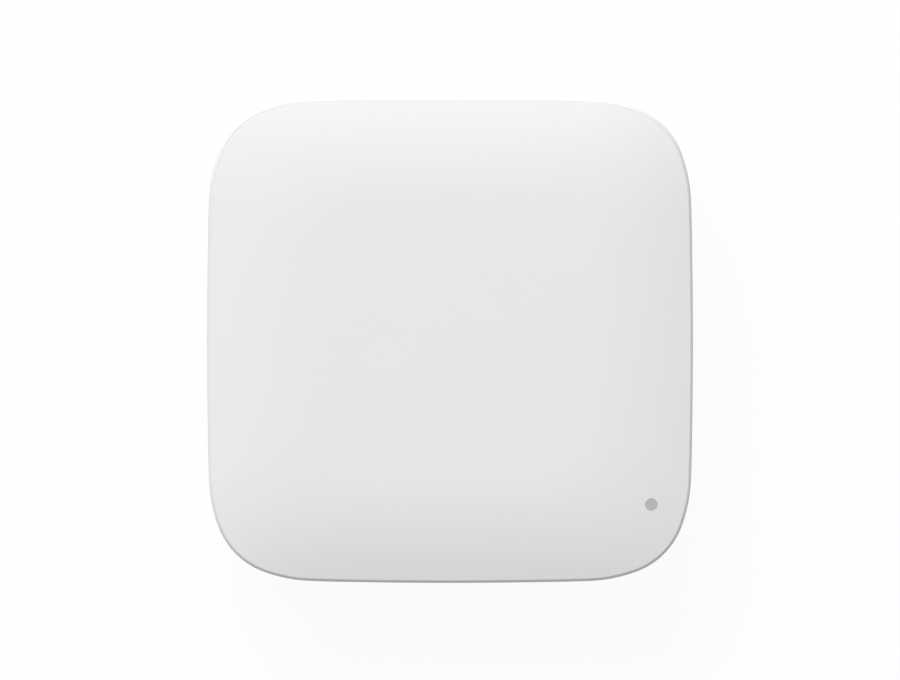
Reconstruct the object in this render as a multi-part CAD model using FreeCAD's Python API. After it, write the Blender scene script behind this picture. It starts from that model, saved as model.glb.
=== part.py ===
import FreeCAD, Part
import math
import os

from FreeCAD import Vector

# A smart home hub: a white soft-cornered square box that lies on a table or hangs on two wall screws.
# The crowned lid carries a status light near its front right corner.
# All sockets and both push buttons are in a recessed bay in the rear wall of the tray below it.
# Sizes are millimetres. X is to the right, Y to the rear and Z up; the rubber feet stand on Z = 0.

# Outline: four slightly bowed sides, each joined to a tight corner by a wider shoulder arc
HUB_WIDTH = 132.0
SIDE_RADIUS = 1380.0
SHOULDER_RADIUS = 41.4
CORNER_RADIUS = 20.7
CORNER_SWEEP = 49.3

# Heights, from the table up
FOOT_PROUD = 1.0
FLOOR_THICK = 2.0
STANDOFF_HEIGHT = 3.8
BOARD_THICK = 1.6
COVER_SIDE_HEIGHT = 7.0
CROWN_DROP = 3.2

# Lid: a flared skirt, a rim that rolls in through part of a circle, and a crown that is flat in the middle
COVER_WALL = 2.0
COVER_FOOT_INSET = 0.7
RIM_RADIUS = 1.5
RIM_TURN = 60.0
RIM_SPARE_TURN = 12.0
PLATEAU_HALF = 37.5
CROWN_CONTOURS = 6
CEILING_THICK = 2.3
SEAM_GAP = 0.5

# Status light, placed from the right and front edges
LIGHT_FROM_RIGHT = 11.4
LIGHT_FROM_FRONT = 21.4
LIGHT_RADIUS = 1.65
LIGHT_CLEARANCE = 0.03
LIGHT_SLEEVE_WALL = 1.3
LIGHT_SLEEVE_LENGTH = 5.0
LIGHT_GAP = 0.5

# Tray: an upright wall over a bevel, with a lip that stands inside the lid's wall
TRAY_INSET = 1.0
TRAY_FOOT_INSET = 3.2
TRAY_BEVEL_HEIGHT = 3.0
LIP_THICK = 1.0
LIP_HEIGHT = 3.2
LIP_CLEARANCE = 0.15

# Hook bars inside the lid's front wall, which catch in windows of the tray's lip
HOOK_FROM_MIDDLE = 25.0
HOOK_WIDTH = 13.0
HOOK_THICK = 1.2
HOOK_REACH = 1.0
HOOK_RISE = 0.8
HOOK_CLEARANCE = 0.1

# Housing screws at the rear, driven from below through pillars and the board into the lid's bosses
PILLAR_FROM_EDGE = 22.5
PILLAR_RADIUS = 4.3
WELL_RADIUS = 3.1
SCREW_SEAT_THICK = 3.2
SCREW_HEAD_RADIUS = 2.75
SCREW_HEAD_HEIGHT = 2.0
SCREW_RADIUS = 1.45
SCREW_LENGTH = 12.0
SCREW_CLEARANCE = 0.05
SCREW_PASS_CLEARANCE = 0.2
DRIVE_WIDTH = 0.7
DRIVE_LENGTH = 3.0
DRIVE_DEPTH = 0.9
BOSS_RADIUS = 3.4
GUSSET_THICK = 1.2
GUSSET_REACH = 3.5
GUSSET_DROP = 7.0
PILLAR_RIB_THICK = 1.4
PILLAR_RIB_HEIGHT = 3.2

# Circuit board, the square posts under it and the crossed legs of the lid that hold its front down
BOARD_INSET = 8.2
BOARD_CORNER_RADIUS = 18.0
REST_WIDTH = 5.0
MIDDLE_REST_FROM_SIDE = 16.0
MIDDLE_REST_Y = 5.0
LEG_WIDTH = 8.0
LEG_THICK = 1.4

# Rubber feet
FOOT_FROM_SIDE = 17.0
FOOT_FROM_END = 40.0
FOOT_WIDTH = 8.0
FOOT_LENGTH = 20.0
FOOT_CORNER_CUT = 2.0
FOOT_RECESS = 0.6
FOOT_CLEARANCE = 0.1

# Wall keyholes
KEYHOLE_SPACING = 70.0
KEYHOLE_Y = -4.0
KEYHOLE_HEAD_RADIUS = 4.1
KEYHOLE_SLOT_RADIUS = 2.1
KEYHOLE_TRAVEL = 7.5
KEYHOLE_HEAD_SPACE = 2.6
KEYHOLE_ROOF = 0.8
KEYHOLE_WALL = 1.2

# Vent slots in the floor, in two rows
VENT_WIDTH = 2.2
VENT_LENGTH = 18.0
VENT_PITCH = 5.2
VENT_COUNT = 8
VENT_ROWS_Y = (-30.0, 28.0)

# Port bay in the rear wall
BAY_DEPTH = 5.0
BAY_HALF_WIDTH = 42.0
BAY_CORNER_RADIUS = 2.5
BAY_BELOW_BOARD = 2.6
BAY_HEADROOM = 1.6
BAY_BRIDGE = 1.6
PANEL_THICK = 2.0
PANEL_CLEARANCE = 0.2

# Ethernet socket
ETHERNET_X = 11.0
ETHERNET_WIDTH = 15.9
ETHERNET_HEIGHT = 11.6
ETHERNET_DEPTH = 15.5
ETHERNET_SETBACK = 0.3
ETHERNET_SHELL = 0.3
PLUG_WIDTH = 11.9
PLUG_HEIGHT = 6.7
PLUG_DEPTH = 12.0
PLUG_FLOOR = 3.2
LATCH_WIDTH = 6.2
LATCH_FLOOR = 1.5
ETHERNET_CONTACTS = 8
ETHERNET_PITCH = 1.02
CONTACT_WIRE = 0.36
CONTACT_LENGTH = 8.0
CONTACT_DROP = 1.2
LINK_LIGHT_WIDTH = 2.6
LINK_LIGHT_HEIGHT = 1.5
LINK_LIGHT_DEPTH = 6.0
LINK_LIGHT_FLOOR = 1.2
LINK_LIGHT_FROM_CENTRE = 4.0

# Power socket
POWER_X = 31.0
POWER_WIDTH = 9.0
POWER_HEIGHT = 11.0
POWER_DEPTH = 14.2
POWER_AXIS_HEIGHT = 6.4
POWER_COLLAR_RADIUS = 4.0
POWER_BORE_RADIUS = 3.1
POWER_BORE_DEPTH = 9.5
POWER_PIN_RADIUS = 1.05
POWER_PIN_SETBACK = 0.8
POWER_SPRING_WIDTH = 2.4
POWER_SPRING_THICK = 0.3
POWER_SPRING_LENGTH = 7.0
POWER_SPRING_SLOT = 0.9
POWER_SPRING_CLEARANCE = 0.1
POWER_SPRING_REACH = 2.6

# USB socket
USB_X = -9.0
USB_WIDTH = 13.2
USB_HEIGHT = 5.8
USB_DEPTH = 14.0
USB_SHELL = 0.35
USB_STANDOFF = 0.6
USB_SETBACK = 0.2
USB_LEG_WIDTH = 2.0
USB_LEG_FROM_BACK = 2.0
USB_TONGUE_WIDTH = 11.1
USB_TONGUE_HEIGHT = 1.9
USB_TONGUE_LENGTH = 9.0
USB_TONGUE_DROP = 0.75
USB_BACK_DEPTH = 3.6
USB_CONTACTS = 4
USB_CONTACT_PITCH = 2.3
USB_CONTACT_WIDTH = 1.0
USB_CONTACT_THICK = 0.15
USB_CONTACT_TO_TIP = 1.0

# Push buttons: a capped pairing key and a reset key behind a pinhole
PAIR_X = -24.0
RESET_X = -34.0
KEY_AXIS_HEIGHT = 3.4
SWITCH_WIDTH = 6.2
SWITCH_HEIGHT = 6.2
SWITCH_DEPTH = 3.6
SWITCH_FROM_EDGE = 0.6
STEM_WIDTH = 2.8
STEM_CLEARANCE = 0.15
STEM_PROUD = 0.8
STEM_BURIED = 1.2
KEY_TRAVEL = 0.5
CAP_WIDTH = 8.0
CAP_HEIGHT = 4.4
CAP_PROUD = 0.7
CAP_CORNER_RADIUS = 1.9
CAP_FLANGE = 0.8
CAP_GAP = 0.2
PINHOLE_RADIUS = 0.9

# Heat path over the processor
PROCESSOR_X = 0.0
PROCESSOR_Y = 6.0
PROCESSOR_SIZE = 15.0
PROCESSOR_HEIGHT = 1.3
THERMAL_PAD_THICK = 0.6
HEAT_SINK_SIZE = 26.0
HEAT_SINK_BASE = 1.8
HEAT_SINK_HEIGHT = 9.0
FIN_COUNT = 7
FIN_THICK = 1.2

# Radio parts
CAN_WALL = 0.3
WIFI_CAN_FROM_SIDE = 40.0
WIFI_CAN_FROM_FRONT = 39.0
WIFI_CAN_SIZE = (24.0, 18.0, 2.8)
RADIO_FROM_SIDE = 39.0
RADIO_FROM_FRONT = 46.0
RADIO_BOARD_SIZE = (22.0, 16.0, 0.8)
RADIO_CAN_MARGIN = 2.0
RADIO_CAN_HEIGHT = 2.2
STRIP_FROM_FRONT = 3.0
STRIP_LENGTH = 58.0
STRIP_HEIGHT = 9.0
STRIP_THICK = 0.8
ANTENNA_LENGTH = 20.0
ANTENNA_HEIGHT = 5.0
ANTENNA_THICK = 0.4
ANTENNA_BAR = 2.0
ANTENNA_LEG = 1.2
ANTENNA_LEG_GAP = 5.0
ANTENNA_FROM_EDGE = 6.0
ANTENNA_Y = -1.0

# Power parts in the board's rear right corner
CAPACITOR_RADIUS = 4.0
CAPACITOR_HEIGHT = 9.5
CAPACITOR_FOOT = 1.4
CAPACITOR_SPACING = 10.0
CAPACITOR_FROM_REAR = 31.0
INDUCTOR_FROM_SIDE = 31.0
INDUCTOR_FROM_REAR = 41.0
INDUCTOR_SIZE = (7.0, 7.0, 4.2)
REGULATOR_FROM_SIDE = 42.0
REGULATOR_FROM_REAR = 40.0
REGULATOR_SIZE = (5.0, 6.0, 1.5)
TRANSFORMER_GAP = 4.0
TRANSFORMER_SIZE = (16.0, 9.5, 5.8)

# Chips round the processor, as X and Y with their sizes
MEMORY_CHIPS = ((-18.0, 3.0, 9.0, 13.0, 1.1), (18.5, 1.0, 9.0, 8.0, 1.0))
POWER_CHIP = (0.0, -18.0, 5.0, 5.0, 0.9)
CRYSTALS = ((-6.0, 23.0, 5.0, 3.2, 1.0), (6.0, -13.0, 3.2, 2.5, 0.8))

# Rows of small resistors and capacitors, each as its first X, its last X and its Y
PASSIVE_SIZE = (0.8, 1.6, 0.6)
PASSIVE_PITCH = 2.4
PASSIVE_ROWS = ((-10.0, 7.0, -9.0), (2.0, 9.5, 22.0), (17.0, 29.5, 10.0), (-40.0, -27.5, 10.0),
                (-36.0, -26.0, -10.0))

# Status light and its collar
STATUS_LIGHT = (1.6, 1.2, 0.7)
SHROUD_WALL = 0.6
SHROUD_CLEARANCE = 0.25
SHROUD_HEIGHT = 3.0

# Levels and edges worked out from the sizes above
HALF = HUB_WIDTH / 2
TRAY_Z = FOOT_PROUD
FLOOR_Z = TRAY_Z + FLOOR_THICK
BOARD_Z = FLOOR_Z + STANDOFF_HEIGHT
BOARD_TOP = BOARD_Z + BOARD_THICK
BAY_Z = BOARD_TOP - BAY_BELOW_BOARD
BAY_TOP = BOARD_TOP + ETHERNET_HEIGHT + BAY_HEADROOM
PARTING_Z = BAY_TOP + BAY_BRIDGE
RIM_Z = PARTING_Z + COVER_SIDE_HEIGHT
TOP_Z = RIM_Z + CROWN_DROP
CROWN_RUN = HALF - PLATEAU_HALF
CROWN_RADIUS = (CROWN_RUN ** 2 + CROWN_DROP ** 2) / (2 * CROWN_DROP)
TRAY_TOP = PARTING_Z - SEAM_GAP / 2
COVER_Z = PARTING_Z + SEAM_GAP / 2
CEILING_Z = RIM_Z - CEILING_THICK
COVER_INNER_INSET = COVER_FOOT_INSET + COVER_WALL
LIP_OUTER_INSET = COVER_INNER_INSET + LIP_CLEARANCE
LIP_INNER_INSET = LIP_OUTER_INSET + LIP_THICK
HOOK_Z = TRAY_TOP + HOOK_RISE
SCREW_SEAT_Z = BOARD_Z - SCREW_SEAT_THICK
SCREW_TIP_Z = SCREW_SEAT_Z + SCREW_LENGTH
PANEL_Y = HALF - BAY_DEPTH
PANEL_INNER_Y = PANEL_Y - PANEL_THICK
BOARD_EDGE = HALF - BOARD_INSET
LIGHT_X = HALF - LIGHT_FROM_RIGHT
LIGHT_Y = LIGHT_FROM_FRONT - HALF
SLEEVE_Z = RIM_Z - LIGHT_SLEEVE_LENGTH
KEY_Z = BOARD_TOP + KEY_AXIS_HEIGHT
SWITCH_Y = BOARD_EDGE - SWITCH_FROM_EDGE
POWER_Z = BOARD_TOP + POWER_AXIS_HEIGHT
FOOT_X = HALF - FOOT_FROM_SIDE
FOOT_Y = HALF - FOOT_FROM_END
PILLAR_X = HALF - PILLAR_FROM_EDGE
PILLAR_SITES = [(-PILLAR_X, PILLAR_X), (PILLAR_X, PILLAR_X)]
FRONT_SITES = [(-PILLAR_X, -PILLAR_X), (PILLAR_X, -PILLAR_X)]
MIDDLE_X = HALF - MIDDLE_REST_FROM_SIDE
MIDDLE_SITES = [(-MIDDLE_X, MIDDLE_REST_Y), (MIDDLE_X, MIDDLE_REST_Y)]
PROFILE_DEPTH = 12.0
OVERSHOOT = 1.0


def box(x0, x1, y0, y1, z0, z1):
    """A block between two corners."""
    return Part.makeBox(x1 - x0, y1 - y0, z1 - z0, Vector(x0, y0, z0))


def post(x, y, z0, z1, radius):
    """An upright cylinder."""
    return Part.makeCylinder(radius, z1 - z0, Vector(x, y, z0))


def rod(x, z, y0, y1, radius):
    """A cylinder that runs towards the rear, from y0 to y1."""
    return Part.makeCylinder(radius, y1 - y0, Vector(x, y0, z), Vector(0, 1, 0))


def block_on(z, site):
    """A block of the given centre, length, width and height that stands on level z."""
    x, y, length, width, height = site
    return box(x - length / 2, x + length / 2, y - width / 2, y + width / 2, z, z + height)


def rear_plate(x, z, width, height, y0, y1, radius):
    """A plate facing the rear, with rounded corners, from y0 to y1."""
    plate = box(x - width / 2, x + width / 2, y0, y1, z - height / 2, z + height / 2)
    return plate.makeFillet(radius, [e for e in plate.Edges if abs(e.tangentAt(e.FirstParameter).y) > 0.9])


def outline_arcs():
    """Centre, radius, start and end angle of a quarter of the outline, from the right side to the rear.

    The side, shoulder and corner arcs are tangent where they meet; the corner's centre is on the diagonal.
    """
    shoulder_end = math.radians(45 - CORNER_SWEEP / 2)
    across = SHOULDER_RADIUS - CORNER_RADIUS
    kx, ky = across * math.cos(shoulder_end), across * math.sin(shoulder_end)
    side_x = HALF - SIDE_RADIUS
    ax = kx + side_x
    reach = SIDE_RADIUS - SHOULDER_RADIUS
    corner = ((ax + ky) + math.sqrt((ax + ky) ** 2 - 2 * (ax ** 2 + ky ** 2 - reach ** 2))) / 2
    shoulder = (corner - kx, corner - ky)
    side_end = math.atan2(shoulder[1], shoulder[0] - side_x)
    quarter = math.pi / 2
    return [
        ((side_x, 0.0), SIDE_RADIUS, -side_end, side_end),
        (shoulder, SHOULDER_RADIUS, side_end, shoulder_end),
        ((corner, corner), CORNER_RADIUS, shoulder_end, quarter - shoulder_end),
        ((shoulder[1], shoulder[0]), SHOULDER_RADIUS, quarter - shoulder_end, quarter - side_end),
    ]


def outline_wire(z, inset=0.0, scale=1.0):
    """The hub's outline at height z, moved in by inset or shrunk about the middle by scale."""
    edges = []
    for turn in range(4):
        for (cx, cy), radius, start, end in outline_arcs():
            points = []
            for angle in (start, (start + end) / 2, end):
                x = scale * (cx + (radius - inset) * math.cos(angle))
                y = scale * (cy + (radius - inset) * math.sin(angle))
                for _ in range(turn):
                    x, y = -y, x
                points.append(Vector(x, y, z))
            edges.append(Part.Arc(*points).toShape())
    return Part.Wire(edges)


def outline_prism(z0, z1, inset):
    """A straight-sided block with the hub's outline."""
    return Part.Face(outline_wire(z0, inset)).extrude(Vector(0, 0, z1 - z0))


def profile_point(inset, z):
    """A point of a wall's profile, where the outline starts, moved in by inset."""
    (x, y), radius, start, _ = outline_arcs()[0]
    return Vector(x + (radius - inset) * math.cos(start), y + (radius - inset) * math.sin(start), z)


def swept(profile, z0, z1):
    """A closed wall profile swept round the outline, with all the space inside it filled from z0 to z1."""
    ring = outline_wire(0.0).makePipeShell([profile], True, True)
    return ring.fuse(outline_prism(z0, z1, PROFILE_DEPTH)).removeSplitter()


def crown_contour(out):
    """The crown's contour at a distance out from the plateau: the hub's outline, shrunk about the middle."""
    z = TOP_Z - CROWN_RADIUS + math.sqrt(CROWN_RADIUS ** 2 - out ** 2)
    return outline_wire(z, scale=(PLATEAU_HALF + out) / HALF)


def crown_block():
    """All the space under the lid's crown: a flat plateau that rolls off on every side along part of a circle.

    The roll-off is lofted through contours that grow from the plateau to just past the rim.
    """
    last = CROWN_RUN + OVERSHOOT
    contours = [crown_contour(last * n / (CROWN_CONTOURS - 1)) for n in range(CROWN_CONTOURS)]
    foot = outline_wire(TRAY_Z, scale=(HALF + OVERSHOOT) / HALF)
    skin = Part.makeLoft(contours, False, False)
    wall = Part.makeLoft([contours[-1], foot], False, True)
    faces = skin.Faces + wall.Faces + [Part.Face(contours[0]), Part.Face(foot)]
    return Part.makeSolid(Part.makeShell(faces))


def lid_form():
    """The lid's outer block: a flared skirt and a rim that rolls in until the crown cuts it off."""
    first, last = math.radians(RIM_TURN), math.radians(RIM_TURN + RIM_SPARE_TURN)
    crown_slope = CROWN_RUN / (CROWN_RADIUS - CROWN_DROP)
    centre_z = RIM_Z + RIM_RADIUS * ((1 - math.cos(first)) * crown_slope - math.sin(first))

    def on_rim(turn):
        return profile_point(RIM_RADIUS * (1 - math.cos(turn)), centre_z + RIM_RADIUS * math.sin(turn))

    rim = Part.Arc(on_rim(0), on_rim(last / 2), on_rim(last)).toShape()
    rise = (PROFILE_DEPTH - RIM_RADIUS * (1 - math.cos(last))) / math.tan(last)
    high = centre_z + RIM_RADIUS * math.sin(last) + rise
    corners = [on_rim(last), profile_point(PROFILE_DEPTH, high), profile_point(PROFILE_DEPTH, COVER_Z),
               profile_point(COVER_FOOT_INSET, COVER_Z), on_rim(0)]
    profile = Part.Wire([rim] + Part.makePolygon(corners).Edges)
    return swept(profile, COVER_Z, high).common(crown_block())


def gusset(x, y):
    """A thin web across a boss, with both its lower corners cut off at 45 degrees."""
    reach, low = BOSS_RADIUS + GUSSET_REACH, CEILING_Z - GUSSET_DROP
    half = [(reach, CEILING_Z), (reach, low + GUSSET_REACH), (BOSS_RADIUS, low)]
    profile = half + [(-across, z) for across, z in reversed(half)]
    corners = [Vector(x + across, y - GUSSET_THICK / 2, z) for across, z in profile]
    return Part.Face(Part.makePolygon(corners + corners[:1])).extrude(Vector(0, GUSSET_THICK, 0))


def lid_boss(x, y):
    """One screw boss of the lid, which stands on the board, with two crossed gussets under the ceiling."""
    crossed = gusset(x, y).rotate(Vector(x, y, 0), Vector(0, 0, 1), 90)
    return post(x, y, BOARD_TOP, CEILING_Z, BOSS_RADIUS).fuse([gusset(x, y), crossed])


def lid_leg(x, y):
    """Two crossed webs from the lid's ceiling down to the board."""
    half, thin = LEG_WIDTH / 2, LEG_THICK / 2
    return box(x - half, x + half, y - thin, y + thin, BOARD_TOP, CEILING_Z).fuse(
        box(x - thin, x + thin, y - half, y + half, BOARD_TOP, CEILING_Z))


def hook_block(x, margin=0.0):
    """A hook bar on the lid's front wall or, with a margin all round, its window in the tray's lip."""
    half = HOOK_WIDTH / 2 + margin
    wall = COVER_INNER_INSET - HALF
    deep = HOOK_REACH if margin == 0 else HOOK_REACH + LIP_THICK + LIP_CLEARANCE
    return box(x - half, x + half, wall - COVER_WALL / 2, wall + deep, HOOK_Z - margin,
               HOOK_Z + HOOK_THICK + margin)


def top_cover():
    """The crowned lid, with its rolled rim, light sleeve, screw bosses, legs and hook bars."""
    room = outline_prism(COVER_Z - OVERSHOOT, CEILING_Z, COVER_INNER_INSET)
    pocket = box(-PLATEAU_HALF, PLATEAU_HALF, -PLATEAU_HALF, PLATEAU_HALF, COVER_Z, TOP_Z - CEILING_THICK)
    inside = [lid_boss(x, y) for x, y in PILLAR_SITES]
    inside += [lid_leg(x, y) for x, y in FRONT_SITES]
    inside += [hook_block(x) for x in (-HOOK_FROM_MIDDLE, HOOK_FROM_MIDDLE)]
    sleeve_radius = LIGHT_RADIUS + LIGHT_CLEARANCE + LIGHT_SLEEVE_WALL
    inside.append(post(LIGHT_X, LIGHT_Y, SLEEVE_Z, CEILING_Z, sleeve_radius))
    cover = lid_form().cut([room, pocket]).fuse(inside)
    cuts = [post(LIGHT_X, LIGHT_Y, SLEEVE_Z - OVERSHOOT, TOP_Z, LIGHT_RADIUS + LIGHT_CLEARANCE)]
    for x, y in PILLAR_SITES:
        cuts.append(post(x, y, BOARD_TOP - OVERSHOOT, SCREW_TIP_Z + OVERSHOOT, SCREW_RADIUS + SCREW_CLEARANCE))
    return cover.cut(cuts)


def key_opening(x):
    """The rounded opening for a button cap in the port panel."""
    return rear_plate(x, KEY_Z, CAP_WIDTH + 2 * PANEL_CLEARANCE, CAP_HEIGHT + 2 * PANEL_CLEARANCE,
                      PANEL_INNER_Y - OVERSHOOT, HALF, CAP_CORNER_RADIUS + PANEL_CLEARANCE)


def port_openings():
    """The holes through the port panel, one for each socket and button."""
    low, high = PANEL_INNER_Y - OVERSHOOT, HALF
    gap = PANEL_CLEARANCE
    ethernet_half = ETHERNET_WIDTH / 2 + gap
    usb_half = USB_WIDTH / 2 + gap
    usb_low = BOARD_TOP + USB_STANDOFF - gap
    return [
        box(ETHERNET_X - ethernet_half, ETHERNET_X + ethernet_half, low, high,
            BOARD_TOP - gap, BOARD_TOP + ETHERNET_HEIGHT + gap),
        box(USB_X - usb_half, USB_X + usb_half, low, high, usb_low, usb_low + USB_HEIGHT + 2 * gap),
        rod(POWER_X, POWER_Z, low, high, POWER_COLLAR_RADIUS + gap),
        key_opening(PAIR_X),
        rod(RESET_X, KEY_Z, low, high, PINHOLE_RADIUS),
    ]


def keyhole(x):
    """The void of a wall keyhole: a round entry, a narrow slot behind it and room for the screw's head."""
    low = TRAY_Z - OVERSHOOT
    seat_y = KEYHOLE_Y + KEYHOLE_TRAVEL
    entry = post(x, KEYHOLE_Y, low, FLOOR_Z, KEYHOLE_HEAD_RADIUS)
    slot = box(x - KEYHOLE_SLOT_RADIUS, x + KEYHOLE_SLOT_RADIUS, KEYHOLE_Y, seat_y, low, FLOOR_Z)
    slot_end = post(x, seat_y, low, FLOOR_Z, KEYHOLE_SLOT_RADIUS)
    head_run = keyhole_room(x, 0.0, FLOOR_Z, FLOOR_Z + KEYHOLE_HEAD_SPACE)
    return entry.fuse([slot, slot_end, head_run])


def keyhole_room(x, wall, z0, z1):
    """The space over a keyhole in which a wall screw's head runs, or the box round it."""
    half = KEYHOLE_HEAD_RADIUS + wall
    return box(x - half, x + half, KEYHOLE_Y - half, KEYHOLE_Y + KEYHOLE_TRAVEL + half, z0, z1)


def keyhole_box(x):
    """The closed pocket that keeps a wall screw's head off the board."""
    return keyhole_room(x, KEYHOLE_WALL, TRAY_Z, FLOOR_Z + KEYHOLE_HEAD_SPACE + KEYHOLE_ROOF)


def pillar_rib(x, y, along_y):
    """A web from a screw pillar out to the nearest wall, along X or along Y."""
    half, top = PILLAR_RIB_THICK / 2, FLOOR_Z + PILLAR_RIB_HEIGHT
    wall_x, wall_y = math.copysign(HALF, x), math.copysign(HALF, y)
    if along_y:
        return box(x - half, x + half, min(y, wall_y), max(y, wall_y), TRAY_Z, top)
    return box(min(x, wall_x), max(x, wall_x), y - half, y + half, TRAY_Z, top)


def tray_form():
    """The tray's outer block, with its bevelled foot and upright wall."""
    corners = [profile_point(inset, z) for inset, z in (
        (PROFILE_DEPTH, TRAY_Z), (TRAY_FOOT_INSET, TRAY_Z), (TRAY_INSET, TRAY_Z + TRAY_BEVEL_HEIGHT),
        (TRAY_INSET, TRAY_TOP), (PROFILE_DEPTH, TRAY_TOP))]
    return swept(Part.makePolygon(corners + corners[:1]), TRAY_Z, TRAY_TOP)


def port_bay():
    """The wide recess in the rear wall, open to the rear."""
    middle = (BAY_Z + BAY_TOP) / 2
    return rear_plate(0, middle, 2 * BAY_HALF_WIDTH, BAY_TOP - BAY_Z, PANEL_Y, HALF + OVERSHOOT,
                      BAY_CORNER_RADIUS)


def board_rest(x, y):
    """A square post under the board."""
    return block_on(TRAY_Z, (x, y, REST_WIDTH, REST_WIDTH, BOARD_Z - TRAY_Z))


def base_tray():
    """The tray: its walls and lip, port bay, screw pillars, board rests, keyholes, vents and foot recesses."""
    form = tray_form()
    lip_top = TRAY_TOP + LIP_HEIGHT
    lip = outline_prism(TRAY_TOP, lip_top, LIP_OUTER_INSET)
    bay_wall = box(-BAY_HALF_WIDTH - PANEL_THICK, BAY_HALF_WIDTH + PANEL_THICK, PANEL_INNER_Y, HALF,
                   TRAY_Z, TRAY_TOP).common(form)
    tray = form.fuse(lip).cut(outline_prism(FLOOR_Z, lip_top, LIP_INNER_INSET)).fuse(bay_wall)
    keyhole_sites = (-KEYHOLE_SPACING / 2, KEYHOLE_SPACING / 2)
    inside = [post(x, y, TRAY_Z, BOARD_Z, PILLAR_RADIUS) for x, y in PILLAR_SITES]
    inside += [pillar_rib(x, y, along_y).common(form) for x, y in PILLAR_SITES for along_y in (False, True)]
    inside += [board_rest(x, y) for x, y in FRONT_SITES + MIDDLE_SITES]
    inside += [keyhole_box(x) for x in keyhole_sites]
    cuts = [port_bay()] + port_openings() + [keyhole(x) for x in keyhole_sites]
    cuts += [hook_block(x, HOOK_CLEARANCE) for x in (-HOOK_FROM_MIDDLE, HOOK_FROM_MIDDLE)]
    for x, y in PILLAR_SITES:
        cuts.append(post(x, y, TRAY_Z - OVERSHOOT, SCREW_SEAT_Z, WELL_RADIUS))
        cuts.append(post(x, y, SCREW_SEAT_Z, BOARD_Z + OVERSHOOT, SCREW_RADIUS + SCREW_PASS_CLEARANCE))
    for row_y in VENT_ROWS_Y:
        for n in range(VENT_COUNT):
            x = (n - (VENT_COUNT - 1) / 2) * VENT_PITCH
            cuts.append(box(x - VENT_WIDTH / 2, x + VENT_WIDTH / 2, row_y - VENT_LENGTH / 2,
                            row_y + VENT_LENGTH / 2, TRAY_Z - OVERSHOOT, FLOOR_Z + OVERSHOOT))
    cuts += [foot_pad(x, y, FOOT_CLEARANCE, TRAY_Z - OVERSHOOT, TRAY_Z + FOOT_RECESS) for x, y in foot_sites()]
    return tray.fuse(inside).cut(cuts)


def foot_sites():
    """The middles of the four rubber feet."""
    return [(x, y) for x in (-FOOT_X, FOOT_X) for y in (-FOOT_Y, FOOT_Y)]


def foot_pad(x, y, margin, z0, z1):
    """A rectangular pad with its four corners cut off."""
    half_x, half_y = FOOT_WIDTH / 2 + margin, FOOT_LENGTH / 2 + margin
    corners = []
    for side_x, side_y in ((1, -1), (1, 1), (-1, 1), (-1, -1)):
        corners.append([Vector(x + side_x * (half_x - FOOT_CORNER_CUT), y + side_y * half_y, z0),
                        Vector(x + side_x * half_x, y + side_y * (half_y - FOOT_CORNER_CUT), z0)])
    ordered = corners[0] + corners[1][::-1] + corners[2] + corners[3][::-1]
    return Part.Face(Part.makePolygon(ordered + ordered[:1])).extrude(Vector(0, 0, z1 - z0))


def rubber_feet():
    """Four pads stuck in the tray's recesses."""
    return [foot_pad(x, y, 0.0, 0.0, FOOT_PROUD + FOOT_RECESS) for x, y in foot_sites()]


def cross_recess(x, y, z0, z1):
    """A cross drive cut."""
    half, thin = DRIVE_LENGTH / 2, DRIVE_WIDTH / 2
    return box(x - half, x + half, y - thin, y + thin, z0, z1).fuse(
        box(x - thin, x + thin, y - half, y + half, z0, z1))


def housing_screws():
    """Two long screws, heads down in the tray's wells."""
    screws = []
    for x, y in PILLAR_SITES:
        under = SCREW_SEAT_Z - SCREW_HEAD_HEIGHT
        head = post(x, y, under, SCREW_SEAT_Z, SCREW_HEAD_RADIUS)
        screw = head.fuse(post(x, y, SCREW_SEAT_Z, SCREW_TIP_Z, SCREW_RADIUS))
        screws.append(screw.cut(cross_recess(x, y, under - OVERSHOOT, under + DRIVE_DEPTH)))
    return screws


def main_board():
    """The board, with rounded corners and a clearance hole for each housing screw."""
    board = box(-BOARD_EDGE, BOARD_EDGE, -BOARD_EDGE, BOARD_EDGE, BOARD_Z, BOARD_TOP)
    corners = [e for e in board.Edges if abs(e.tangentAt(e.FirstParameter).z) > 0.9]
    holes = [post(x, y, BOARD_Z, BOARD_TOP, SCREW_RADIUS + SCREW_PASS_CLEARANCE) for x, y in PILLAR_SITES]
    return board.makeFillet(BOARD_CORNER_RADIUS, corners).cut(holes)


def light_guide():
    """The clear rod that brings the status light up to the lid, flush with the crown."""
    guide = post(LIGHT_X, LIGHT_Y, BOARD_TOP + STATUS_LIGHT[2] + LIGHT_GAP, TOP_Z, LIGHT_RADIUS)
    return guide.common(crown_block())


def led_shroud():
    """The dark square collar that keeps the status light inside the guide."""
    inner = 2 * (LIGHT_RADIUS + SHROUD_CLEARANCE)
    outer = inner + 2 * SHROUD_WALL
    collar = block_on(BOARD_TOP, (LIGHT_X, LIGHT_Y, outer, outer, SHROUD_HEIGHT))
    return collar.cut(block_on(BOARD_TOP, (LIGHT_X, LIGHT_Y, inner, inner, SHROUD_HEIGHT)))


def status_led():
    """The light source on the board."""
    return block_on(BOARD_TOP, (LIGHT_X, LIGHT_Y, *STATUS_LIGHT))


def ethernet_span(margin=0.0):
    """The Ethernet socket's block, made smaller by margin at its sides, top and back."""
    face = PANEL_Y - ETHERNET_SETBACK
    half = ETHERNET_WIDTH / 2 - margin
    return box(ETHERNET_X - half, ETHERNET_X + half, face - ETHERNET_DEPTH + margin, face,
               BOARD_TOP, BOARD_TOP + ETHERNET_HEIGHT - margin)


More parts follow.
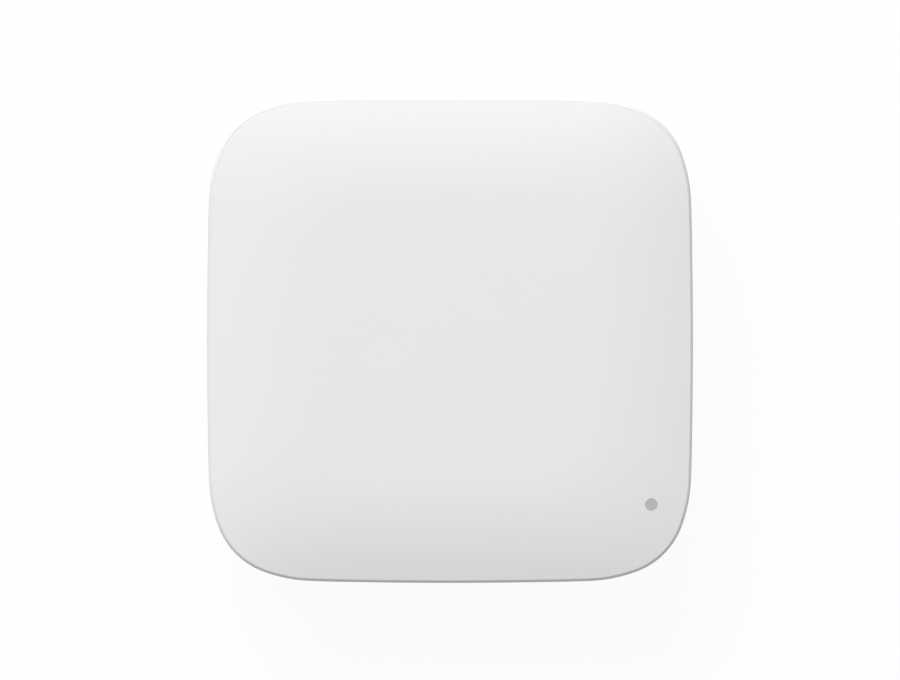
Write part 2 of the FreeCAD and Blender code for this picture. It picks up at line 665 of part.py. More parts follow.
def link_lights_void():
    """The two link light windows under the plug opening."""
    face = PANEL_Y - ETHERNET_SETBACK
    z0 = BOARD_TOP + LINK_LIGHT_FLOOR
    lights = []
    for side in (-1, 1):
        x = ETHERNET_X + side * (LINK_LIGHT_FROM_CENTRE + LINK_LIGHT_WIDTH / 2)
        lights.append(box(x - LINK_LIGHT_WIDTH / 2, x + LINK_LIGHT_WIDTH / 2, face - LINK_LIGHT_DEPTH, face,
                          z0, z0 + LINK_LIGHT_HEIGHT))
    return lights


def ethernet_shell():
    """The pressed steel shield round the Ethernet socket, open at the front and below."""
    return ethernet_span().cut(ethernet_span(ETHERNET_SHELL))


def ethernet_body():
    """The moulded socket, with its plug cavity, latch slot and light windows."""
    face = PANEL_Y - ETHERNET_SETBACK
    back = face - PLUG_DEPTH
    floor = BOARD_TOP + PLUG_FLOOR
    plug = box(ETHERNET_X - PLUG_WIDTH / 2, ETHERNET_X + PLUG_WIDTH / 2, back, face + OVERSHOOT,
               floor, floor + PLUG_HEIGHT)
    latch = box(ETHERNET_X - LATCH_WIDTH / 2, ETHERNET_X + LATCH_WIDTH / 2, back, face + OVERSHOOT,
                BOARD_TOP + LATCH_FLOOR, floor)
    return ethernet_span(ETHERNET_SHELL).cut([plug, latch] + link_lights_void())


def ethernet_contacts():
    """Eight sprung wires that slope down into the plug cavity from its roof."""
    roof = BOARD_TOP + PLUG_FLOOR + PLUG_HEIGHT
    back = PANEL_Y - ETHERNET_SETBACK - PLUG_DEPTH
    wires = []
    for n in range(ETHERNET_CONTACTS):
        x = ETHERNET_X + (n - (ETHERNET_CONTACTS - 1) / 2) * ETHERNET_PITCH - CONTACT_WIRE / 2
        side = [Vector(x, back, roof - CONTACT_DROP), Vector(x, back + CONTACT_LENGTH, roof - CONTACT_WIRE),
                Vector(x, back + CONTACT_LENGTH, roof), Vector(x, back, roof - CONTACT_DROP + CONTACT_WIRE)]
        wires.append(Part.Face(Part.makePolygon(side + side[:1])).extrude(Vector(CONTACT_WIRE, 0, 0)))
    return wires


def power_jack_body():
    """The moulded power socket: a block on the board with a round collar through the panel."""
    collar_back = PANEL_INNER_Y - PANEL_CLEARANCE
    block = box(POWER_X - POWER_WIDTH / 2, POWER_X + POWER_WIDTH / 2, PANEL_Y - POWER_DEPTH, collar_back,
                BOARD_TOP, BOARD_TOP + POWER_HEIGHT)
    collar = rod(POWER_X, POWER_Z, collar_back, PANEL_Y, POWER_COLLAR_RADIUS)
    bore = rod(POWER_X, POWER_Z, PANEL_Y - POWER_BORE_DEPTH, PANEL_Y + OVERSHOOT, POWER_BORE_RADIUS)
    slot_half = POWER_SPRING_WIDTH / 2 + POWER_SPRING_CLEARANCE
    slot = box(POWER_X - slot_half, POWER_X + slot_half, PANEL_Y - POWER_BORE_DEPTH, collar_back,
               spring_floor(), POWER_Z)
    return block.fuse(collar).cut([bore, slot])


def spring_floor():
    """Height of the floor of the power socket's spring slot, under the bore."""
    return POWER_Z - POWER_BORE_RADIUS - POWER_SPRING_SLOT


def power_jack_spring():
    """The bent leaf under the bore, which bears on the outside of a plug's sleeve."""
    back = PANEL_Y - POWER_BORE_DEPTH
    floor, thick = spring_floor(), Vector(0, 0, POWER_SPRING_THICK)
    left = POWER_X - POWER_SPRING_WIDTH / 2
    under = [Vector(left, back, floor),
             Vector(left, back + POWER_SPRING_LENGTH / 2, POWER_Z - POWER_SPRING_REACH - POWER_SPRING_THICK),
             Vector(left, back + POWER_SPRING_LENGTH, floor)]
    corners = under + [point + thick for point in reversed(under)]
    return Part.Face(Part.makePolygon(corners + corners[:1])).extrude(Vector(POWER_SPRING_WIDTH, 0, 0))


def power_jack_pin():
    """The centre pin, which stands on the bore's floor."""
    return rod(POWER_X, POWER_Z, PANEL_Y - POWER_BORE_DEPTH, PANEL_Y - POWER_PIN_SETBACK, POWER_PIN_RADIUS)


def usb_span(margin=0.0):
    """The USB socket's block, made smaller by margin on its four sides."""
    face = PANEL_Y - USB_SETBACK
    half = USB_WIDTH / 2 - margin
    low = BOARD_TOP + USB_STANDOFF
    return box(USB_X - half, USB_X + half, face - USB_DEPTH, face, low + margin, low + USB_HEIGHT - margin)


def usb_shell():
    """The folded steel tube of the USB socket, with its four legs down to the board."""
    face = PANEL_Y - USB_SETBACK
    legs = []
    for side in (-1, 1):
        for y in (face - USB_DEPTH + USB_LEG_FROM_BACK, face - USB_DEPTH / 2):
            x = USB_X + side * (USB_WIDTH - USB_SHELL) / 2
            legs.append(block_on(BOARD_TOP, (x, y, USB_SHELL, USB_LEG_WIDTH, USB_STANDOFF + USB_SHELL)))
    return usb_span().cut(usb_span(USB_SHELL)).fuse(legs)


def usb_tongue_top():
    """Height of the top face of the USB tongue."""
    return BOARD_TOP + USB_STANDOFF + USB_HEIGHT - USB_SHELL - USB_TONGUE_DROP


def usb_tongue():
    """The moulded back of the USB socket and the tongue that carries the contacts."""
    back = PANEL_Y - USB_SETBACK - USB_DEPTH
    half = USB_WIDTH / 2 - USB_SHELL
    low = BOARD_TOP + USB_STANDOFF
    plug_stop = box(USB_X - half, USB_X + half, back, back + USB_BACK_DEPTH, low + USB_SHELL,
                    low + USB_HEIGHT - USB_SHELL)
    top = usb_tongue_top()
    tongue = box(USB_X - USB_TONGUE_WIDTH / 2, USB_X + USB_TONGUE_WIDTH / 2, back,
                 back + USB_BACK_DEPTH + USB_TONGUE_LENGTH, top - USB_TONGUE_HEIGHT, top)
    return plug_stop.fuse(tongue).removeSplitter()


def usb_contacts():
    """Four contact strips under the USB tongue."""
    start = PANEL_Y - USB_SETBACK - USB_DEPTH + USB_BACK_DEPTH
    under = usb_tongue_top() - USB_TONGUE_HEIGHT
    strips = []
    for n in range(USB_CONTACTS):
        x = USB_X + (n - (USB_CONTACTS - 1) / 2) * USB_CONTACT_PITCH
        strips.append(box(x - USB_CONTACT_WIDTH / 2, x + USB_CONTACT_WIDTH / 2, start,
                          start + USB_TONGUE_LENGTH - USB_CONTACT_TO_TIP, under - USB_CONTACT_THICK, under))
    return strips


def stem_block(x, margin, y0, y1):
    """A square bar on a switch's axis, from y0 to y1, made larger by margin all round."""
    half = STEM_WIDTH / 2 + margin
    return box(x - half, x + half, y0, y1, KEY_Z - half, KEY_Z + half)


def switch_body(x):
    """A side-pressed switch at the board's rear edge, with the well its stem slides in."""
    body = box(x - SWITCH_WIDTH / 2, x + SWITCH_WIDTH / 2, SWITCH_Y - SWITCH_DEPTH, SWITCH_Y,
               BOARD_TOP, BOARD_TOP + SWITCH_HEIGHT)
    well_end = SWITCH_Y - STEM_BURIED - KEY_TRAVEL - STEM_CLEARANCE
    return body.cut(stem_block(x, STEM_CLEARANCE, well_end, SWITCH_Y + OVERSHOOT))


def switch_stem(x):
    """The moving stem of a switch."""
    return stem_block(x, 0.0, SWITCH_Y - STEM_BURIED, SWITCH_Y + STEM_PROUD)


def pair_button():
    """The pairing button's cap: a rounded face through the panel, held by a flange behind it."""
    back = SWITCH_Y + STEM_PROUD
    front = PANEL_Y + CAP_PROUD
    flange = rear_plate(PAIR_X, KEY_Z, CAP_WIDTH + 2 * CAP_FLANGE, CAP_HEIGHT + 2 * CAP_FLANGE,
                        back, PANEL_INNER_Y - CAP_GAP, CAP_CORNER_RADIUS + CAP_FLANGE)
    cap = rear_plate(PAIR_X, KEY_Z, CAP_WIDTH, CAP_HEIGHT, back, front, CAP_CORNER_RADIUS)
    return cap.fuse(flange)


def processor():
    """The main chip."""
    return block_on(BOARD_TOP, (PROCESSOR_X, PROCESSOR_Y, PROCESSOR_SIZE, PROCESSOR_SIZE, PROCESSOR_HEIGHT))


def thermal_pad():
    """The soft pad between the main chip and its heat sink."""
    return block_on(BOARD_TOP + PROCESSOR_HEIGHT,
                    (PROCESSOR_X, PROCESSOR_Y, PROCESSOR_SIZE, PROCESSOR_SIZE, THERMAL_PAD_THICK))


def heat_sink():
    """The finned aluminium block, with fins along Y."""
    z = BOARD_TOP + PROCESSOR_HEIGHT + THERMAL_PAD_THICK
    plate = block_on(z, (PROCESSOR_X, PROCESSOR_Y, HEAT_SINK_SIZE, HEAT_SINK_SIZE, HEAT_SINK_BASE))
    pitch = (HEAT_SINK_SIZE - FIN_THICK) / (FIN_COUNT - 1)
    fins = [block_on(z, (PROCESSOR_X - HEAT_SINK_SIZE / 2 + FIN_THICK / 2 + n * pitch, PROCESSOR_Y,
                         FIN_THICK, HEAT_SINK_SIZE, HEAT_SINK_HEIGHT)) for n in range(FIN_COUNT)]
    return plate.fuse(fins).removeSplitter()


def shield_can(z, site):
    """A folded steel can, open below."""
    x, y, length, width, height = site
    room = block_on(z, (x, y, length - 2 * CAN_WALL, width - 2 * CAN_WALL, height - CAN_WALL))
    return block_on(z, site).cut(room)


def wifi_shield_can():
    """The can over the short-range radio, near the front left corner."""
    return shield_can(BOARD_TOP, (WIFI_CAN_FROM_SIDE - HALF, WIFI_CAN_FROM_FRONT - HALF, *WIFI_CAN_SIZE))


def radio_site():
    """Where the long-range radio's board lies, near the front right corner, and its size."""
    return (HALF - RADIO_FROM_SIDE, RADIO_FROM_FRONT - HALF, *RADIO_BOARD_SIZE)


def radio_module_board():
    """The small board of the long-range radio."""
    return block_on(BOARD_TOP, radio_site())


def radio_module_can():
    """The can over the long-range radio, which leaves the antenna's end of its board bare."""
    x, y, length, width, thick = radio_site()
    return shield_can(BOARD_TOP + thick, (x, y + RADIO_CAN_MARGIN / 2, length - 2 * RADIO_CAN_MARGIN,
                                          width - 3 * RADIO_CAN_MARGIN, RADIO_CAN_HEIGHT))


def strip_y():
    """Y of the upright antenna board's middle plane."""
    return -BOARD_EDGE + STRIP_FROM_FRONT


def antenna_strip():
    """The upright antenna board near the front edge."""
    y = strip_y()
    return box(-STRIP_LENGTH / 2, STRIP_LENGTH / 2, y - STRIP_THICK / 2, y + STRIP_THICK / 2,
               BOARD_TOP, BOARD_TOP + STRIP_HEIGHT)


def wifi_antennas():
    """Two pressed antennas, each a raised bar on two legs."""
    antennas = []
    half, thin = ANTENNA_LENGTH / 2, ANTENNA_THICK / 2
    top, end = BOARD_TOP + ANTENNA_HEIGHT, ANTENNA_Y - ANTENNA_LENGTH / 2
    for x in (ANTENNA_FROM_EDGE - BOARD_EDGE, BOARD_EDGE - ANTENNA_FROM_EDGE):
        bar = box(x - thin, x + thin, ANTENNA_Y - half, ANTENNA_Y + half, top - ANTENNA_BAR, top)
        legs = [box(x - thin, x + thin, y, y + ANTENNA_LEG, BOARD_TOP, top)
                for y in (end, end + ANTENNA_LEG_GAP)]
        antennas.append(bar.fuse(legs).removeSplitter())
    return antennas


def power_capacitors():
    """Two upright can capacitors on square feet."""
    cans = []
    y = HALF - CAPACITOR_FROM_REAR
    for x in (POWER_X - CAPACITOR_SPACING / 2, POWER_X + CAPACITOR_SPACING / 2):
        foot = block_on(BOARD_TOP, (x, y, 2 * CAPACITOR_RADIUS, 2 * CAPACITOR_RADIUS, CAPACITOR_FOOT))
        cans.append(post(x, y, BOARD_TOP, BOARD_TOP + CAPACITOR_HEIGHT, CAPACITOR_RADIUS).fuse(foot))
    return cans


def power_inductor():
    """The moulded choke beside the capacitors."""
    return block_on(BOARD_TOP, (HALF - INDUCTOR_FROM_SIDE, HALF - INDUCTOR_FROM_REAR, *INDUCTOR_SIZE))


def regulator_chips():
    """The two chips of the power supply."""
    rear = (HALF - REGULATOR_FROM_SIDE, HALF - REGULATOR_FROM_REAR, *REGULATOR_SIZE)
    return blocks([rear, POWER_CHIP])


def ethernet_transformer():
    """The isolating block in front of the Ethernet socket."""
    length, width, height = TRANSFORMER_SIZE
    y = PANEL_Y - ETHERNET_SETBACK - ETHERNET_DEPTH - TRANSFORMER_GAP - width / 2
    return block_on(BOARD_TOP, (ETHERNET_X, y, length, width, height))


def board_passives():
    """Rows of small resistors and capacitors, a pitch apart."""
    parts = []
    for first_x, last_x, y in PASSIVE_ROWS:
        for n in range(1 + int((last_x - first_x) / PASSIVE_PITCH)):
            parts.append(block_on(BOARD_TOP, (first_x + n * PASSIVE_PITCH, y, *PASSIVE_SIZE)))
    return parts


def blocks(sites):
    """Plain chips on the board, one for each site."""
    return [block_on(BOARD_TOP, site) for site in sites]


def write(name, shape):
    """Writes one piece, or a group of like pieces, as a file of its own."""
    solids = shape if isinstance(shape, list) else [shape]
    solids = [s.removeSplitter() if len(s.Solids) == 1 else s for s in solids]
    single = len(solids) == 1 and len(solids[0].Solids) == 1
    made = solids[0].Solids[0] if single else Part.makeCompound(solids)
    if not made.isValid():
        raise ValueError(f"{name} is not a valid solid")
    made.exportStep(os.path.join("parts", name + ".step"))
    print(name, len(made.Solids), "solids", round(made.Volume, 1), "mm3")


PIECES = {
    "top_cover": top_cover,
    "base_tray": base_tray,
    "rubber_feet": rubber_feet,
    "housing_screws": housing_screws,
    "main_board": main_board,
    "light_guide": light_guide,
    "led_shroud": led_shroud,
    "status_led": status_led,
    "ethernet_shell": ethernet_shell,
    "ethernet_body": ethernet_body,
    "ethernet_contacts": ethernet_contacts,
    "ethernet_link_lights": link_lights_void,
    "ethernet_transformer": ethernet_transformer,
    "power_jack_body": power_jack_body,
    "power_jack_pin": power_jack_pin,
    "power_jack_spring": power_jack_spring,
    "usb_shell": usb_shell,
    "usb_tongue": usb_tongue,
    "usb_contacts": usb_contacts,
    "pair_button": pair_button,
    "pair_switch_body": lambda: switch_body(PAIR_X),
    "pair_switch_stem": lambda: switch_stem(PAIR_X),
    "reset_switch_body": lambda: switch_body(RESET_X),
    "reset_switch_stem": lambda: switch_stem(RESET_X),
    "processor": processor,
    "thermal_pad": thermal_pad,
    "heat_sink": heat_sink,
    "memory_chips": lambda: blocks(MEMORY_CHIPS),
    "regulator_chips": regulator_chips,
    "wifi_shield_can": wifi_shield_can,
    "radio_module_board": radio_module_board,
    "radio_module_can": radio_module_can,
    "antenna_strip": antenna_strip,
    "wifi_antennas": wifi_antennas,
    "power_capacitors": power_capacitors,
    "power_inductor": power_inductor,
    "crystals": lambda: blocks(CRYSTALS),
    "board_passives": board_passives,
}

os.makedirs("parts", exist_ok=True)
for piece_name, make_piece in PIECES.items():
    write(piece_name, make_piece())
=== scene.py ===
import math

import bpy
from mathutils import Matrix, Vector


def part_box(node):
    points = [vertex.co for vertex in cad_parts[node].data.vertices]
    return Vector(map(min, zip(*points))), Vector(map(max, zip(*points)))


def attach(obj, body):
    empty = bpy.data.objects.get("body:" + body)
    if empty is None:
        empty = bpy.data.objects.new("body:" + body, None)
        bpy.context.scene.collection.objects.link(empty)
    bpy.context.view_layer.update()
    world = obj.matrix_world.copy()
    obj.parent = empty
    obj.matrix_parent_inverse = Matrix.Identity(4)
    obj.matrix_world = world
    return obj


# A white smart home hub on a pale table, seen from straight above. The frame holds every piece at its
# real place and size. This script gives each one its finish, lays finer facets over the lid's rim, and sets
# the table, the light and the camera.

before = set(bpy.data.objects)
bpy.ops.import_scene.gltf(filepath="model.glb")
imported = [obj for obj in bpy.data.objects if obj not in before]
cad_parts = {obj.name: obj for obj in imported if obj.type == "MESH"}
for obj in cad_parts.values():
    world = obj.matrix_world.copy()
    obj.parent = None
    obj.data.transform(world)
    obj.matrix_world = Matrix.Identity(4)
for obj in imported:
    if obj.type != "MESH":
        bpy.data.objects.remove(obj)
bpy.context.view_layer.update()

MM = 0.001

# The photograph: 900 pixels wide, with the hub in its middle, 486 pixels wide where its rim starts to roll
PHOTO_WIDTH_PX = 900
HUB_WIDTH_PX = 485.7
SENSOR_WIDTH = 36.0
CAMERA_HEIGHT = 1300 * MM

# The lid's rolled rim: where the wall starts to roll in, below the lid's top, and how it rolls
RIM_BELOW_TOP = 4.33 * MM
RIM_RADIUS = 1.5 * MM
RIM_TURN = math.radians(60)

# The ring of finer facets over that rim: its steps up the roll and along it, how far it stands off the lid
# and reaches into it, and which of the lid's points it starts from
RIM_STEPS = 9
RIM_SPACING = 2.5 * MM
RIM_CLEARANCE = 0.015 * MM
RIM_DEPTH = 0.3 * MM
RIM_LEVEL_ERROR = 0.03 * MM
RIM_INNERMOST = 60 * MM

# Every surface's texture: the detail in its grain and in its patches of tone, and a patch's size in grains
GRAIN_DETAIL = 3.0
PATCH_DETAIL = 2.0
PATCH_GRAINS = 30

# A Mix node's sockets for colours, which share their names with its other sockets
MIX_SHARE = 0
MIX_FIRST = 6
MIX_SECOND = 7
MIX_RESULT = 2

# Studio: one broad soft lamp behind and a little to the left, and even light from all round
LAMP_AWAY = Vector((-0.27, 0.748, 0.610))
LAMP_DISTANCE = 4000 * MM
LAMP_WIDTH = 2900 * MM
LAMP_HEIGHT = 1900 * MM
LAMP_POWER = 153
FILL_STRENGTH = 0.412

# The table: its size, its gap below the feet, the colour that throws light back at the hub, the colour that
# the hub's shadow falls on, and how much of what is seen of it is plain white
TABLE_SIZE = 8.0
TABLE_GAP = 0.05 * MM
TABLE_COLOUR = "#BCBCBC"
TABLE_SEEN_COLOUR = "#F8F8F8"
TABLE_WHITENESS = 0.94


def linear(hex_colour):
    """An sRGB colour such as "#F0F0EE" as linear red, green, blue and alpha, by the standard formula."""
    channels = [int(hex_colour[i:i + 2], 16) / 255 for i in (1, 3, 5)]
    return (*[c / 12.92 if c <= 0.04045 else ((c + 0.055) / 1.055) ** 2.4 for c in channels], 1.0)


def add_node(tree, kind, inputs=(), **settings):
    """Adds a node. An input given as another node's socket is linked, and any other value is set."""
    made = tree.nodes.new(kind)
    for name, value in settings.items():
        setattr(made, name, value)
    for name, value in dict(inputs).items():
        if isinstance(value, bpy.types.NodeSocket):
            tree.links.new(value, made.inputs[name])
        else:
            made.inputs[name].default_value = value
    return made


def per_metre(size_mm):
    """The texture scale that repeats a pattern at this size in millimetres."""
    return 1 / (size_mm * MM)


def surface(name, colour, roughness, grain_mm, relief_mm, shade=0.06, wear=0.06, metallic=0.0, ior=None,
            stretch=(1, 1, 1)):
    """A material with grain of a real size in relief, and with small changes of tone and gloss.

    shade is how much darker the colour gets in patches, and wear is how far the roughness wanders. stretch
    draws the grain out along each axis where it is less than 1.
    """
    material = bpy.data.materials.new(name)
    material.use_nodes = True
    tree = material.node_tree
    tree.nodes.clear()
    place = add_node(tree, "ShaderNodeTexCoord").outputs["Object"]
    along = add_node(tree, "ShaderNodeMapping", {"Vector": place, "Scale": stretch}).outputs["Vector"]
    grain = add_node(tree, "ShaderNodeTexNoise",
                     {"Vector": along, "Scale": per_metre(grain_mm), "Detail": GRAIN_DETAIL}).outputs["Fac"]
    patch_scale = per_metre(PATCH_GRAINS * grain_mm)
    patches = add_node(tree, "ShaderNodeTexNoise",
                       {"Vector": place, "Scale": patch_scale, "Detail": PATCH_DETAIL}).outputs["Fac"]
    deep = (*[c * (1 - shade) for c in linear(colour)[:3]], 1.0)
    tone = add_node(tree, "ShaderNodeMix",
                    {MIX_SHARE: patches, MIX_FIRST: deep, MIX_SECOND: linear(colour)}, data_type="RGBA")
    gloss = add_node(tree, "ShaderNodeMapRange",
                     {"Value": grain, "To Min": roughness - wear, "To Max": roughness + wear})
    relief = add_node(tree, "ShaderNodeBump",
                      {"Height": grain, "Strength": 1.0, "Distance": relief_mm * MM})
    values = {"Base Color": tone.outputs[MIX_RESULT], "Roughness": gloss.outputs["Result"],
              "Metallic": metallic, "Normal": relief.outputs["Normal"]}
    if ior:
        values["IOR"] = ior
    shader = add_node(tree, "ShaderNodeBsdfPrincipled", values)
    add_node(tree, "ShaderNodeOutputMaterial", {"Surface": shader.outputs["BSDF"]})
    return material


def white_moulded_abs():
    """The lid's ABS, from a finely spark-eroded tool: soft matte white, its grain too fine to see."""
    return surface("white_moulded_abs", "#EDECEC", 0.75, 0.35, 0.003, shade=0.012, wear=0.03, ior=1.53)


def tray_abs_with_painted_shade():
    """The tray's ABS: the lid's plastic from a coarser tool, its colour set a little greyer than the lid's
    as painted shade, so its lit walls stay below white.
    """
    # The greyer colour here is painted shade on the lid's own white, not a different plastic
    return surface("tray_abs_with_painted_shade", "#E3E3E2", 0.7, 0.6, 0.01, shade=0.03, ior=1.53)


def grey_moulded_abs():
    """The button's ABS, a shade darker than the tray, polished a little by fingertips."""
    return surface("grey_moulded_abs", "#B9BABB", 0.42, 0.3, 0.004, ior=1.53)


def frosted_polycarbonate():
    """The light guide's end: clear rod with a frosted face, grey while the light below is off."""
    return surface("frosted_polycarbonate", "#BDBDC1", 0.6, 0.2, 0.002, shade=0.03, ior=1.585)


def grey_rubber():
    """Moulded silicone rubber pads: dull, with faint darker patches."""
    return surface("grey_rubber", "#4A4B4D", 0.78, 0.4, 0.01, shade=0.15, ior=1.41)


def zinc_plated_steel():
    """Screws plated with bright zinc, a little uneven in gloss."""
    return surface("zinc_plated_steel", "#B4B6BA", 0.32, 0.25, 0.004, metallic=1.0, wear=0.1)


def nickel_plated_steel():
    """Pressed sheet with a bright nickel plate, over the faint lines that rolling leaves along it."""
    return surface("nickel_plated_steel", "#C6C4BE", 0.24, 0.25, 0.002, metallic=1.0, stretch=(1, 0.12, 1))


def gold_flashed_contacts():
    """Phosphor bronze with a thin gold flash."""
    return surface("gold_flashed_contacts", "#E3B65A", 0.22, 0.2, 0.001, metallic=1.0)


def tinned_bronze():
    """Sheet bronze dipped in tin: a soft, slightly cloudy silver."""
    return surface("tinned_bronze", "#B9BABA", 0.38, 0.5, 0.003, metallic=1.0)


def black_moulded_pbt():
    """Glass-filled connector plastic: near black, uneven in gloss from its fibres."""
    return surface("black_moulded_pbt", "#1B1B1D", 0.5, 0.25, 0.006, shade=0.25, ior=1.57)


def white_moulded_pbt():
    """The plug tongue's plastic, white and slightly creamy."""
    return surface("white_moulded_pbt", "#DAD8D0", 0.5, 0.25, 0.004, ior=1.57)


def tinted_polycarbonate():
    """The link lights' windows, pale green and unlit."""
    return surface("tinted_polycarbonate", "#A9B78F", 0.25, 0.3, 0.001, ior=1.585)


def clear_epoxy():
    """The status light's cast epoxy over its pale phosphor."""
    return surface("clear_epoxy", "#E4DDB4", 0.15, 0.3, 0.001, ior=1.5)


def green_solder_mask():
    """Laminate board under green lacquer, paler in patches where copper lies below."""
    return surface("green_solder_mask", "#1E5B39", 0.3, 0.6, 0.012, shade=0.35, ior=1.5)


def black_moulded_epoxy():
    """Chip bodies: black epoxy with a matte moulded skin."""
    return surface("black_moulded_epoxy", "#242527", 0.55, 0.15, 0.004, shade=0.2, ior=1.55)


def grey_ferrite():
    """Pressed ferrite powder, dark and dry."""
    return surface("grey_ferrite", "#3A3B3E", 0.7, 0.3, 0.01, shade=0.2)


def clear_anodised_aluminium():
    """Extruded and clear anodised: pale metal with fine lines along the fins."""
    return surface("clear_anodised_aluminium", "#C3C5C8", 0.36, 0.3, 0.004, metallic=1.0,
                   stretch=(1, 0.08, 1))


def blue_silicone_pad():
    """Filled silicone, soft and dull."""
    return surface("blue_silicone_pad", "#7F91A8", 0.8, 0.4, 0.01, ior=1.41)


def fired_ceramic():
    """Capacitor bodies, tan and fired smooth."""
    return surface("fired_ceramic", "#A98B68", 0.4, 0.2, 0.003, shade=0.12)


# The finish of every piece
FINISHES = {
    white_moulded_abs: ["top_cover"],
    tray_abs_with_painted_shade: ["base_tray"],
    grey_moulded_abs: ["pair_button", "pair_switch_stem", "reset_switch_stem"],
    frosted_polycarbonate: ["light_guide"],
    grey_rubber: ["rubber_feet"],
    zinc_plated_steel: ["housing_screws"],
    nickel_plated_steel: ["ethernet_shell", "usb_shell", "wifi_shield_can", "radio_module_can", "crystals",
                          "power_jack_pin"],
    gold_flashed_contacts: ["ethernet_contacts", "usb_contacts"],
    tinned_bronze: ["wifi_antennas", "power_jack_spring"],
    black_moulded_pbt: ["ethernet_body", "power_jack_body", "led_shroud", "pair_switch_body",
                        "reset_switch_body"],
    white_moulded_pbt: ["usb_tongue"],
    tinted_polycarbonate: ["ethernet_link_lights"],
    clear_epoxy: ["status_led"],
    green_solder_mask: ["main_board", "radio_module_board", "antenna_strip"],
    black_moulded_epoxy: ["processor", "memory_chips", "regulator_chips", "ethernet_transformer"],
    grey_ferrite: ["power_inductor"],
    clear_anodised_aluminium: ["heat_sink", "power_capacitors"],
    blue_silicone_pad: ["thermal_pad"],
    fired_ceramic: ["board_passives"],
}


def finish_pieces():
    """Gives every piece of the frame its material."""
    for make_finish, names in FINISHES.items():
        material = make_finish()
        for name in names:
            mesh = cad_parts[name].data
            mesh.materials.clear()
            mesh.materials.append(material)


def rim_starts():
    """Where the lid's wall starts to roll in: points of the frame's lid, in order round the hub."""
    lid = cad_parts["top_cover"]
    _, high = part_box("top_cover")
    found = []
    for vertex in lid.data.vertices:
        place = lid.matrix_world @ vertex.co
        level = abs(place.z - high.z + RIM_BELOW_TOP) < RIM_LEVEL_ERROR
        if level and place.xy.length > RIM_INNERMOST:
            found.append(place)
    found.sort(key=lambda place: math.atan2(place.y, place.x))
    return [place for n, place in enumerate(found) if (place - found[n - 1]).length > RIM_CLEARANCE]


def facing_out(places):
    """Each point of a round with its direction out, square to a curve through it and its neighbours."""
    faced = []
    for n, place in enumerate(places):
        before = place - places[n - 1]
        after = places[(n + 1) % len(places)] - place
        along = before.normalized() * after.length + after.normalized() * before.length
        faced.append((place, Vector((along.y, -along.x, 0)).normalized()))
    return faced


def evened(starts):
    """The same round, with points of each arc added until none are further apart than RIM_SPACING.

    The turn between an arc's ends gives its height over its chord, and over so small a turn it rises and
    falls as a parabola does.
    """
    points = []
    for n, (place, out) in enumerate(starts):
        after, out_after = starts[(n + 1) % len(starts)]
        chord = after - place
        height = chord.length / 2 * math.tan(out.angle(out_after) / 4)
        count = math.ceil(chord.length / RIM_SPACING)
        for step in range(count):
            share = step / count
            way = out.lerp(out_after, share).normalized()
            rise = height * 4 * share * (1 - share)
            points.append((place + share * chord + rise * way, way))
    return points


def rim_section():
    """The ring's closed section: each point's distance from the arc's middle, its turn and its side."""
    turns = [RIM_TURN * step / RIM_STEPS for step in range(RIM_STEPS + 1)]
    outer = [(RIM_RADIUS + RIM_CLEARANCE, turn, 1) for turn in turns]
    inner = [(RIM_RADIUS - RIM_DEPTH, turn, -1) for turn in (RIM_TURN, 0)]
    return outer + inner


def rolled_rim():
    """A closed ring of even facets over the lid's rolled rim, which keeps the rim's highlight unbroken."""
    columns = evened(facing_out(rim_starts()))
    section = rim_section()
    points, normals, faces = [], [], []
    for n, (place, out) in enumerate(columns):
        after = (n + 1) % len(columns)
        for row, (reach, turn, side) in enumerate(section):
            normal = out * math.cos(turn) + Vector((0, 0, math.sin(turn)))
            points.append(place - RIM_RADIUS * out + reach * normal)
            normals.append(side * normal)
            corners = ((n, row - 1), (after, row - 1), (after, row), (n, row))
            faces.append([column * len(section) + r % len(section) for column, r in corners])
    mesh = bpy.data.meshes.new("rolled_rim")
    mesh.from_pydata(points, [], faces)
    mesh.shade_smooth()
    mesh.normals_split_custom_set_from_vertices(normals)
    mesh.materials.append(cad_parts["top_cover"].data.materials[0])
    rim = bpy.data.objects.new("rolled_rim", mesh)
    bpy.context.scene.collection.objects.link(rim)
    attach(rim, "housing")


def seen_directly(tree):
    """1 for what the eye sees, also in a reflection or through glass, and 0 for all other light."""
    path = add_node(tree, "ShaderNodeLightPath")
    seen = path.outputs["Is Camera Ray"]
    for way in ("Is Glossy Ray", "Is Transmission Ray"):
        either = add_node(tree, "ShaderNodeMath", {0: seen, 1: path.outputs[way]}, operation="MAXIMUM")
        seen = either.outputs[0]
    return seen


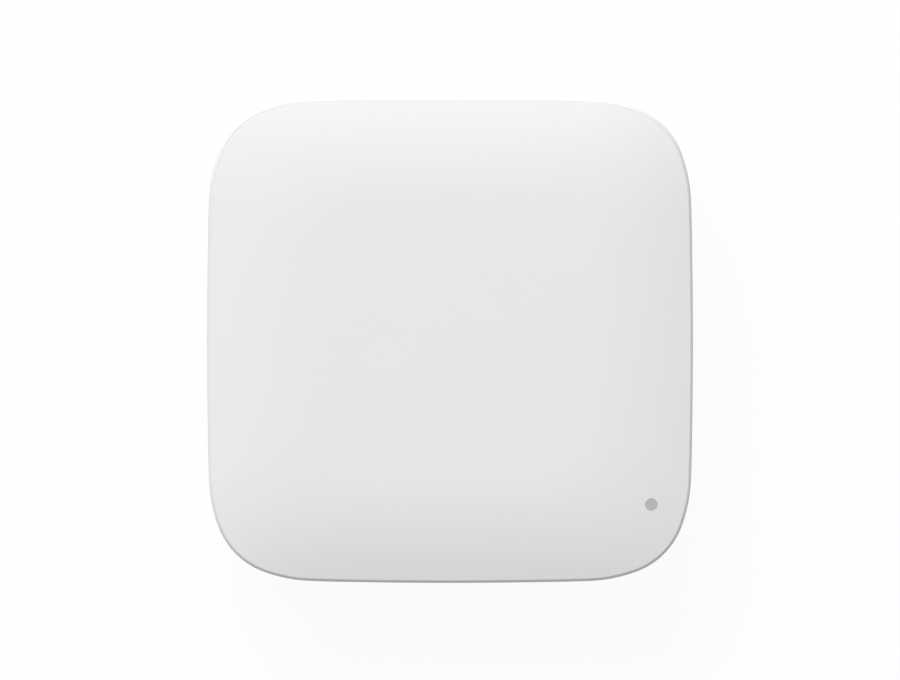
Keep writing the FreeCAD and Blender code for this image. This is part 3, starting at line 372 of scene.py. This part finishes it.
def table():
    """A wide matte table that looks white and keeps the hub's soft shadow, just clear of the feet."""
    bpy.ops.mesh.primitive_plane_add(size=TABLE_SIZE, location=(0, 0, -TABLE_GAP))
    top = bpy.context.object
    top.name = "table_top"
    material = bpy.data.materials.new("matte_table_laminate")
    material.use_nodes = True
    tree = material.node_tree
    tree.nodes.clear()
    seen = seen_directly(tree)
    colours = {MIX_FIRST: linear(TABLE_COLOUR), MIX_SECOND: linear(TABLE_SEEN_COLOUR)}
    tone = add_node(tree, "ShaderNodeMix", {MIX_SHARE: seen, **colours}, data_type="RGBA")
    lit = add_node(tree, "ShaderNodeBsdfDiffuse", {"Color": tone.outputs[MIX_RESULT]})
    white = add_node(tree, "ShaderNodeEmission", {"Color": (1, 1, 1, 1), "Strength": 1.0})
    share = add_node(tree, "ShaderNodeMath", {0: seen, 1: TABLE_WHITENESS}, operation="MULTIPLY")
    mixed = add_node(tree, "ShaderNodeMixShader",
                     {0: share.outputs[0], 1: lit.outputs[0], 2: white.outputs[0]})
    add_node(tree, "ShaderNodeOutputMaterial", {"Surface": mixed.outputs[0]})
    top.data.materials.append(material)


def studio_world():
    """Even light from all round, which looks white where it is seen, also in a reflection."""
    world = bpy.data.worlds.new("studio")
    bpy.context.scene.world = world
    world.use_nodes = True
    tree = world.node_tree
    tree.nodes.clear()
    fill = add_node(tree, "ShaderNodeBackground", {"Color": (1, 1, 1, 1), "Strength": FILL_STRENGTH})
    white = add_node(tree, "ShaderNodeBackground", {"Color": (1, 1, 1, 1), "Strength": 1.0})
    seen = seen_directly(tree)
    mixed = add_node(tree, "ShaderNodeMixShader", {0: seen, 1: fill.outputs[0], 2: white.outputs[0]})
    add_node(tree, "ShaderNodeOutputWorld", {"Surface": mixed.outputs[0]})


def broad_lamp():
    """The soft box behind the hub."""
    light = bpy.data.lights.new("soft_box", "AREA")
    light.shape = "RECTANGLE"
    light.size = LAMP_WIDTH
    light.size_y = LAMP_HEIGHT
    light.energy = LAMP_POWER
    lamp = bpy.data.objects.new("soft_box", light)
    bpy.context.scene.collection.objects.link(lamp)
    away = LAMP_AWAY.normalized()
    lamp.location = away * LAMP_DISTANCE
    lamp.rotation_euler = away.to_track_quat("Z", "Y").to_euler()


def camera():
    """Straight above the hub, with the rear of the hub at the top of the picture."""
    low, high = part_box("top_cover")
    view_width = (high.x - low.x) * PHOTO_WIDTH_PX / HUB_WIDTH_PX
    data = bpy.data.cameras.new("camera")
    data.sensor_width = SENSOR_WIDTH
    data.lens = SENSOR_WIDTH * (CAMERA_HEIGHT - high.z + RIM_BELOW_TOP) / view_width
    eye = bpy.data.objects.new("camera", data)
    bpy.context.scene.collection.objects.link(eye)
    eye.location = (0, 0, CAMERA_HEIGHT)
    bpy.context.scene.camera = eye


bpy.context.scene.view_settings.view_transform = "Standard"
finish_pieces()
rolled_rim()
table()
studio_world()
broad_lamp()
camera()
